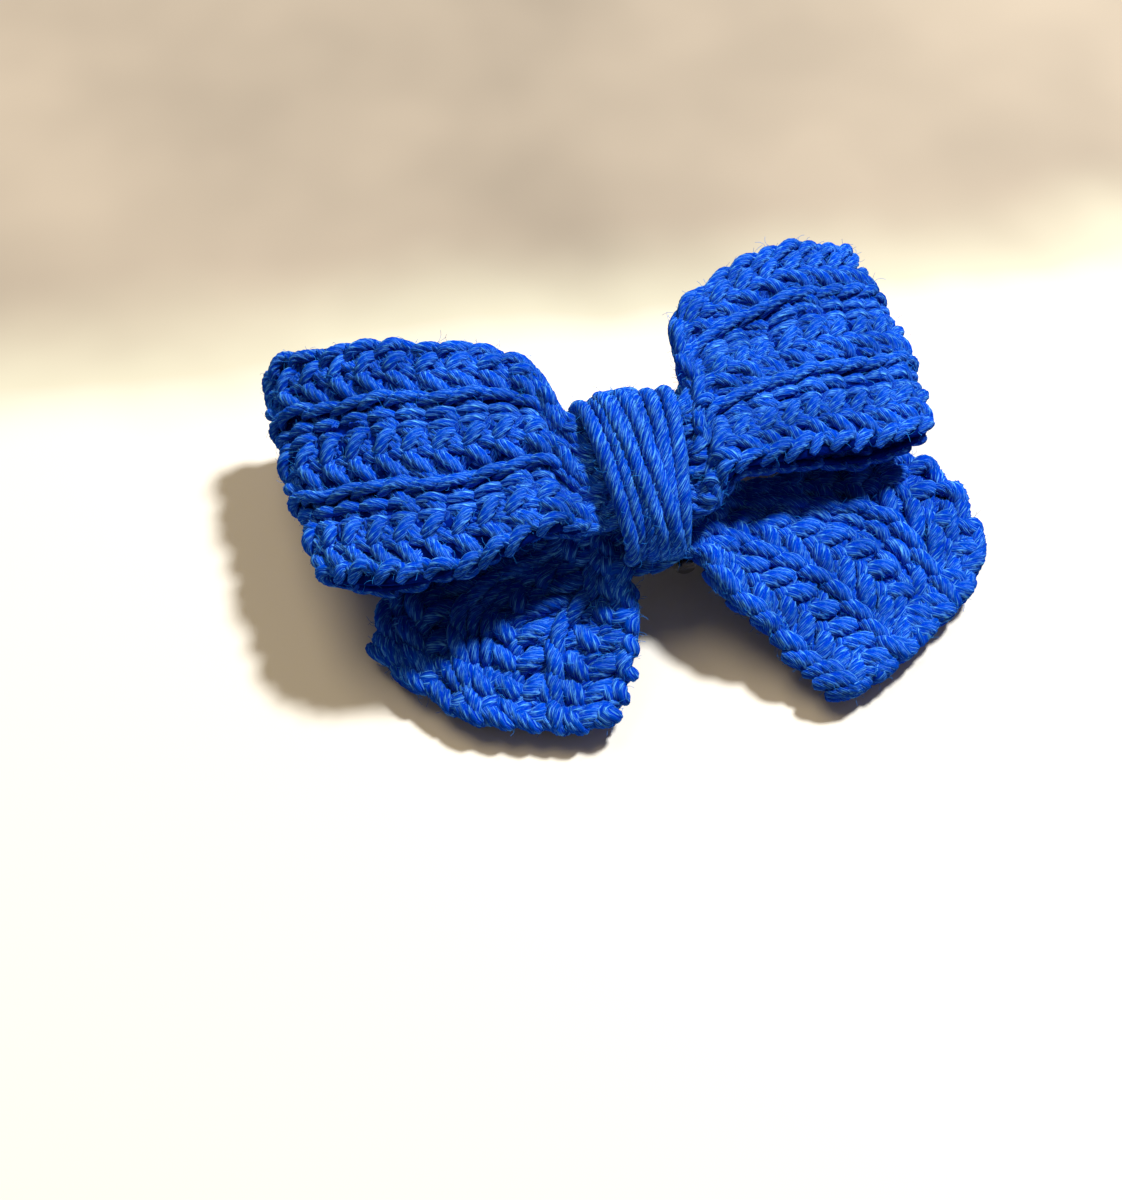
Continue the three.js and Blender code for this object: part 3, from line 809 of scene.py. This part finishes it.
loopRows += plainRows(["leg", "leg", "ridge", "leg", "leg", "ridge", "leg"],
                      (15.0, 9.0, 5.0, 1.0, -5.0, -9.0, -13.6), -1, 12, points=11)
loopRows += plainRows(["under"] * 8, (16.8, 11.6, 7.2, 2.6, -2.8, -7.4, -11.6, -16.4), 1, 20,
                      points=7, wobble=0.5)
loopPieces = layRows("loop", loopRows, loopGuide, loopCount, loopHalf)
tailHalf = 17.0
tailCount = round(tailLength / stitchWidth)
tailRows = [
    ("chain", 16.4, 1, {"seed": 31, "wobble": 0.6, "radius": 1.6}),
    ("braid", 11.4, 1, {"seed": 32, "radius": 1.6}),
    ("ridge", 6.6, 1, {"seed": 33, "radius": 1.4}),
    ("cross", 3.4, 1, {"seed": 35, "radius": 1.35, "pitch": 14}),
    ("braid", -1.4, 1, {"seed": 34, "radius": 1.6}),
    ("ridge", -6.4, 1, {"seed": 36, "radius": 1.4}),
    ("braid", -11.2, 1, {"seed": 37, "radius": 1.6}),
    ("chain", -16.0, 1, {"seed": 38, "wobble": 0.6, "radius": 1.6}),
]
tailRows += plainRows(["leg", "ridge", "leg", "leg", "ridge", "leg"],
                      (11.6, 7.2, 2.6, -3.4, -7.4, -11.8), -1, 42, points=11)
tailRows += plainRows(["under"] * 6, (13.8, 8.8, 1.0, -4.0, -8.6, -13.6), 1, 60,
                      points=7, wobble=0.5)
tailPieces = layRows("tail", tailRows, tailGuide, tailCount, tailHalf)
endHalf = tailLength / 2 / reach  # the end rows measure along the tails' length
for number, (shape, middle, side) in enumerate([
        ("chain", tailLength / 2 - 0.9, 1), ("braid", tailLength / 2 - 4.6, 1),
        ("chain", 0.9 - tailLength / 2, 1), ("braid", 4.6 - tailLength / 2, 1),
        ("leg", tailLength / 2 - 4.0, -1), ("leg", 4.0 - tailLength / 2, -1)]):
    tailPieces.append(stitchRowPiece(f"tail_end_{number + 1}", tailEndGuide, shape, 7, 0.075, 0.925,
                                     endHalf, middle, side, seed=50 + number))
print("rows of stitches laid:", len(loopPieces) + len(tailPieces))


def coreSheet(name, grid, outward, inset, thickness):
    # the fabric behind the stitches, one thin closed sheet, in the near-black painted-shade colour
    keep = (abs(np.linspace(-reach, reach, grid.shape[1])) <= inset)
    points, away = grid[::4][:, keep][:, ::2], outward[::4][:, keep][:, ::2]
    columns, rows = points.shape[0] - 1, points.shape[1] - 1
    above = place((points + away * thickness / 2).reshape(-1, 3))
    below = place((points - away * thickness / 2).reshape(-1, 3))
    total = len(above)
    faces = gridFaces(columns, rows)
    flipped = [tuple(i + total for i in reversed(face)) for face in faces]
    rim = ([c * (rows + 1) for c in range(columns + 1)]
           + [columns * (rows + 1) + r for r in range(1, rows + 1)]
           + [c * (rows + 1) + rows for c in range(columns - 1, -1, -1)]
           + [r for r in range(rows - 1, 0, -1)])
    sides = [(b, a, a + total, b + total) for a, b in zip(rim, rim[1:] + rim[:1])]
    mesh = bpy.data.meshes.new(name)
    mesh.from_pydata(np.vstack([above, below]).tolist(), [], faces + flipped + sides)
    mesh.materials.append(shadeCoreMaterial)
    mesh.validate()
    made = bpy.data.objects.new(name, mesh)
    scene.collection.objects.link(made)
    for polygon in mesh.polygons:
        polygon.use_smooth = True
    return made


def facingOut(piece):
    work = bmesh.new()
    work.from_mesh(piece.data)
    bmesh.ops.recalc_face_normals(work, faces=work.faces)
    if work.calc_volume(signed=True) < 0:
        bmesh.ops.reverse_faces(work, faces=work.faces)
    work.to_mesh(piece.data)
    work.free()
    return piece


loopCore = facingOut(coreSheet("loop_fabric", loopGrid, loopOut, core["reach"], core["thickness"]))
tailCore = facingOut(coreSheet("tail_fabric", tailGrid, tailOut, core["reach"], core["thickness"]))

# the wrap, its knot and the seam
wrap = {
    "halfP": 11.7, "halfQ": 7.9, "yarn": 1.3, "middle": 0.2, "squareness": 2.6,
    "main": {
        "turns": 6, "pitch": 2.65, "grow": 0.0, "lean": 0.0, "narrow": 0.42, "start": 1.45, "stack": 0.9},
    "over": {
        "turns": 2, "pitch": 3.0, "grow": 0.9, "lean": 0.16, "narrow": 0.3, "start": 1.4, "stack": 0.0},
}
seam = {"yarn": 0.95, "wave": 0.25}
knot = {"yarn": 0.86, "radius": 1.7}


def ovalPoint(angle, halfP, halfQ):
    c, s = math.cos(angle), math.sin(angle)
    full = 2 / wrap["squareness"]
    return halfP * math.copysign(abs(c) ** full, c), halfQ * math.copysign(abs(s) ** full, s)


def windings(turns, pitch, grow, lean, narrow, start, stack):
    # turns of yarn round the waist, closer together and piled up at the lower end
    points = []
    steps = turns * 40
    for i in range(steps + 1):
        share = i / steps
        angle = start * math.pi + share * turns * math.tau
        p, q = ovalPoint(angle, wrap["halfP"], wrap["halfQ"])
        low = min(max(0.5 - p / wrap["halfP"] / 2, 0), 1)
        pile = 0.5 - 0.5 * math.cos(share * turns * math.pi)
        out = 1 + (grow + stack * low * pile) / wrap["halfQ"]
        x = (share - 0.5) * turns * pitch * (1 - narrow * low) - lean * p * (1 if q > 0 else -0.3)
        points.append(place(waistPoint(x, wrap["middle"] + p * (1 + (out - 1) * 0.5), q * out)))
    return points


def laidYarnPiece(name, paths, radius, wobble=0.4):
    holder = polyCurve(name + "Path", paths)
    made = nodesMesh(name, holder, laidYarn, yarnValues(radius, 9.0, wobble))
    bpy.data.objects.remove(holder)
    return made


wrapPiece = laidYarnPiece("wrap_yarn", [windings(**wrap["main"]), windings(**wrap["over"])], wrap["yarn"])
finished(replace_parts(wrapPiece, "center_wrap"), "bow")


def seamPath():
    points = []
    for i in range(21):
        p = strips["waistMiddle"] + strips["waistWidth"] * (i / 20 - 0.5)
        level = back - strips["arch"] * p ** 2 + seam["wave"] * math.sin(i * math.pi / 2)
        points.append(place(waistPoint(0, p, level)))
    return points


seamPiece = laidYarnPiece("loop_seam_yarn", [seamPath()], seam["yarn"])
finished(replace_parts(seamPiece, "loop_seam"), "bow")


def torusKnot(radius, turnsP=2, turnsQ=3, steps=150):
    points = []
    for i in range(steps + 1):
        u = i / steps * turnsP * math.tau
        cu, su, quOverP = math.cos(u), math.sin(u), turnsQ / turnsP * u
        cs = math.cos(quOverP)
        points.append(np.array([radius * (2 + cs) * 0.5 * cu, radius * (2 + cs) * 0.5 * su,
                                radius * math.sin(quOverP) * 0.5]))
    return points


lowKnot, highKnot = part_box("wrap_knot")
knotSpot = np.array((lowKnot + highKnot) / 2)
turn = np.array([[1, 0, 0], [0, leanCos, -leanSin], [0, leanSin, leanCos]])
knotPath = [knotSpot + (turn @ point) * mm for point in torusKnot(knot["radius"])]
knotPiece = laidYarnPiece("wrap_end_knot", [knotPath], knot["yarn"], wobble=0.0)
finished(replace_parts(knotPiece, "wrap_knot"), "bow")
print("wrap, seam and knot laid")

clip = {
    "plate": (0.62, 0.62, 0.6), "wire": (0.45, 0.45, 0.46), "smooth": 0.14, "dull": 0.36,
    "coilRadius": 1.4, "wireRadius": 0.25, "turns": 4, "rise": 2.48, "legLength": 4.5, "legShare": 0.12,
    "openAngle": 149, "brushed": (60.0, 1500.0, 1500.0), "scratchDepth": 0.00002,
    "smudgeScale": 220.0, "smudgeShade": 0.72,
}


def metalMaterial(name, colour):
    material, tree, shader, place3 = newMaterial(name)
    drawn = node(tree, "ShaderNodeMapping", {"Vector": place3, "Scale": clip["brushed"]})
    grain = noiseOf(tree, drawn.outputs[0], 1.0, 3.0)
    smudge = noiseOf(tree, place3, clip["smudgeScale"], 3.0)
    dark = tuple(c * clip["smudgeShade"] for c in colour)
    tree.links.new(ramp(tree, smudge.outputs[0], [(0.3, dark), (0.6, colour)]),
                   shader.inputs["Base Color"])
    mixed = times(tree, calc(tree, "ADD", grain.outputs[0], smudge.outputs[0]), 0.5)
    shine = spread(tree, mixed, 0.35, 0.65, clip["smooth"], clip["dull"])
    tree.links.new(shine, shader.inputs["Roughness"])
    emboss(tree, shader, grain.outputs[0], clip["scratchDepth"], 0.3)
    shader.inputs["Metallic"].default_value = 1.0
    return material


glue = {
    "dull": (0.7, 0.66, 0.55), "clear": (0.86, 0.83, 0.74), "cloudScale": 300.0, "bumpHeight": 0.0003,
    "smooth": 0.25, "rough": 0.45, "subsurface": 0.25, "subsurfaceScale": 0.002,
}


def glueMaterial():
    material, tree, shader, place3 = newMaterial("milkyGlue")
    cloud = noiseOf(tree, place3, glue["cloudScale"], 2.0)
    tree.links.new(ramp(tree, cloud.outputs[0], [(0.3, glue["dull"]), (0.7, glue["clear"])]),
                   shader.inputs["Base Color"])
    shine = spread(tree, cloud.outputs[0], 0.3, 0.7, glue["smooth"], glue["rough"])
    tree.links.new(shine, shader.inputs["Roughness"])
    emboss(tree, shader, cloud.outputs[0], glue["bumpHeight"], 0.5)
    setInputs(shader, {
        "Subsurface Weight": glue["subsurface"], "Subsurface Scale": glue["subsurfaceScale"]})
    return material


def repaint(nodeName, material):
    for materialSlot in frame["nodes"][nodeName].material_slots:
        materialSlot.material = material


plateMetal = metalMaterial("nickelPlate", clip["plate"])
wireMetal = metalMaterial("springSteel", clip["wire"])
repaint("clip_top_jaw", plateMetal)
repaint("clip_bottom_jaw", plateMetal)
repaint("clip_hinge_pin", wireMetal)
repaint("glue_pad", glueMaterial())
pinLow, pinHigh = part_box("clip_hinge_pin")
pinMiddle = np.array((pinLow + pinHigh) / 2)


def springPoint(share):
    leg = clip["legShare"]
    coil = min(max((share - leg) / (1 - 2 * leg), 0), 1)
    angle = math.pi / 2 - coil * (clip["turns"] * math.tau + math.radians(clip["openAngle"]))
    legLength = clip["legLength"] * (max(leg - share, 0) + max(share - 1 + leg, 0)) / leg
    toward = legLength if share < 0.5 else -legLength
    x = clip["coilRadius"] * math.cos(angle) + toward * math.sin(angle)
    z = clip["coilRadius"] * math.sin(angle) - toward * math.cos(angle)
    return pinMiddle + np.array((x, (coil - 0.5) * clip["rise"], z)) * mm


springLine = polyCurve("springLine", [[springPoint(i / 180) for i in range(181)]])
springLine.data.bevel_depth = clip["wireRadius"] * mm
springLine.data.bevel_resolution = 2
springLine.data.use_fill_caps = True
viewed = bpy.context.evaluated_depsgraph_get()
springMesh = bpy.data.meshes.new_from_object(springLine.evaluated_get(viewed))
bpy.data.objects.remove(springLine)
springMesh.materials.clear()
springMesh.materials.append(wireMetal)
springMesh.polygons.foreach_set("use_smooth", [True] * len(springMesh.polygons))
spring = facingOut(bpy.data.objects.new("spring_wire", springMesh))
scene.collection.objects.link(spring)
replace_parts(spring, "clip_spring")
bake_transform(spring)
print("clip, glue and spring finished")

fuzz = {
    "perSquareMetre": 110000.0, "length": 1.6, "thickness": 0.06, "colour": (0.02, 0.22, 0.8),
    "lean": 0.6, "shortest": 0.5, "longest": 1.4, "patchScale": 400.0,
}


def fuzzTree(name, sources):
    # loose fibre ends standing off the yarn
    tree, given, end = newTree(name, [
        ("Hairs Per Square Metre", "Float", 100000.0), ("Hair Length", "Float", 1.5 * mm),
        ("Hair Radius", "Float", 0.03 * mm), ("Seed", "Int", 1), ("Material", "Material", None)])
    gathered = node(tree, "GeometryNodeJoinGeometry")
    for source in sources:
        drawn = node(tree, "GeometryNodeObjectInfo", {"Object": source})
        tree.links.new(out(drawn, "Geometry"), gathered.inputs[0])
    roots = node(tree, "GeometryNodeDistributePointsOnFaces", {
        "Mesh": gathered.outputs[0], "Density": given["Hairs Per Square Metre"], "Seed": given["Seed"]},
        distribute_method="RANDOM")
    hair = node(tree, "GeometryNodeCurveQuadraticBezier", {
        "Resolution": 3, "Start": (0, 0, -0.08), "Middle": (0.1, 0.1, 0.55), "End": (0.75, 0.15, 0.6)})
    most = (fuzz["lean"], fuzz["lean"], math.pi)
    spin = node(tree, "FunctionNodeRandomValue", {"Min": tuple(-a for a in most), "Max": most},
                data_type="FLOAT_VECTOR")
    tree.links.new(given["Seed"], next(i for i in spin.inputs if i.name == "Seed"))
    turned = node(tree, "FunctionNodeRotateRotation", {"Rotation": roots.outputs["Rotation"]},
                  rotation_space="LOCAL")
    tree.links.new(node(tree, "FunctionNodeEulerToRotation", {0: out(spin)}).outputs[0], turned.inputs[1])
    sizes = node(tree, "FunctionNodeRandomValue", {
        "Min": fuzz["shortest"], "Max": fuzz["longest"]}, data_type="FLOAT")
    scaled = times(tree, out(sizes), given["Hair Length"])
    hairs = node(tree, "GeometryNodeInstanceOnPoints", {
        "Points": roots.outputs["Points"], "Instance": hair.outputs[0], "Rotation": turned.outputs[0]})
    tree.links.new(scaled, hairs.inputs["Scale"])
    hairs = node(tree, "GeometryNodeRealizeInstances", {0: hairs.outputs[0]})
    section = strandSection(tree, 3, given["Hair Radius"])
    tubes = node(tree, "GeometryNodeCurveToMesh", {
        "Curve": hairs.outputs[0], "Profile Curve": section.outputs[0], "Fill Caps": True})
    whole = node(tree, "GeometryNodeRealizeInstances", {0: tubes.outputs[0]})
    painted = node(tree, "GeometryNodeSetMaterial", {
        "Geometry": whole.outputs[0], "Material": given["Material"]})
    tree.links.new(painted.outputs[0], end)
    return tree


def fuzzMaterial():
    material, tree, shader, place3 = newMaterial("looseFibre")
    noise = noiseOf(tree, place3, fuzz["patchScale"], 1.0)
    dark = tuple(c * 0.5 for c in fuzz["colour"])
    tree.links.new(ramp(tree, noise.outputs[0], [(0.35, dark), (0.65, fuzz["colour"])]),
                   shader.inputs["Base Color"])
    setInputs(shader, {"Roughness": 0.7, "Specular IOR Level": 0.0})
    return material


fibre = fuzzMaterial()


def fuzzPiece(name, sources, seed):
    tree = fuzzTree(name + "Tree", sources)
    holder = emptyHolder(name)
    made = nodesMesh(name, holder, tree, {
        "Hairs Per Square Metre": fuzz["perSquareMetre"], "Hair Length": fuzz["length"] * mm,
        "Hair Radius": fuzz["thickness"] * mm / 2, "Seed": seed, "Material": fibre})
    bpy.data.objects.remove(holder)
    bpy.data.node_groups.remove(tree)
    return finished(made, "bow")


loopFuzz = fuzzPiece("loop_fuzz", [piece for piece, row in zip(loopPieces, loopRows) if row[2] == 1], 3)
tailFuzz = fuzzPiece("tail_fuzz", [piece for piece, row in zip(tailPieces, tailRows) if row[2] == 1], 5)
wrapFuzz = fuzzPiece("wrap_fuzz", [wrapPiece], 7)
loopPieces.append(loopFuzz)
tailPieces.append(tailFuzz)
print("loose fibres:", [len(piece.data.polygons) // 11 for piece in (loopFuzz, tailFuzz, wrapFuzz)])

# every piece on its body, and the two sheets as wide as they were made
for piece in loopPieces + tailPieces:
    finished(piece, "bow")
finished(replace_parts(loopCore, "loop_strip"), "bow")
finished(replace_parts(tailCore, "tail_strip"), "bow")

for helper in list(stitches.values()) + [loopGuide, tailGuide, tailEndGuide]:
    bpy.data.objects.remove(helper)

triangles = sum(len(o.data.polygons) * 2 for o in bpy.data.objects if o.type == "MESH" and "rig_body" in o)
print("about", triangles, "triangles")
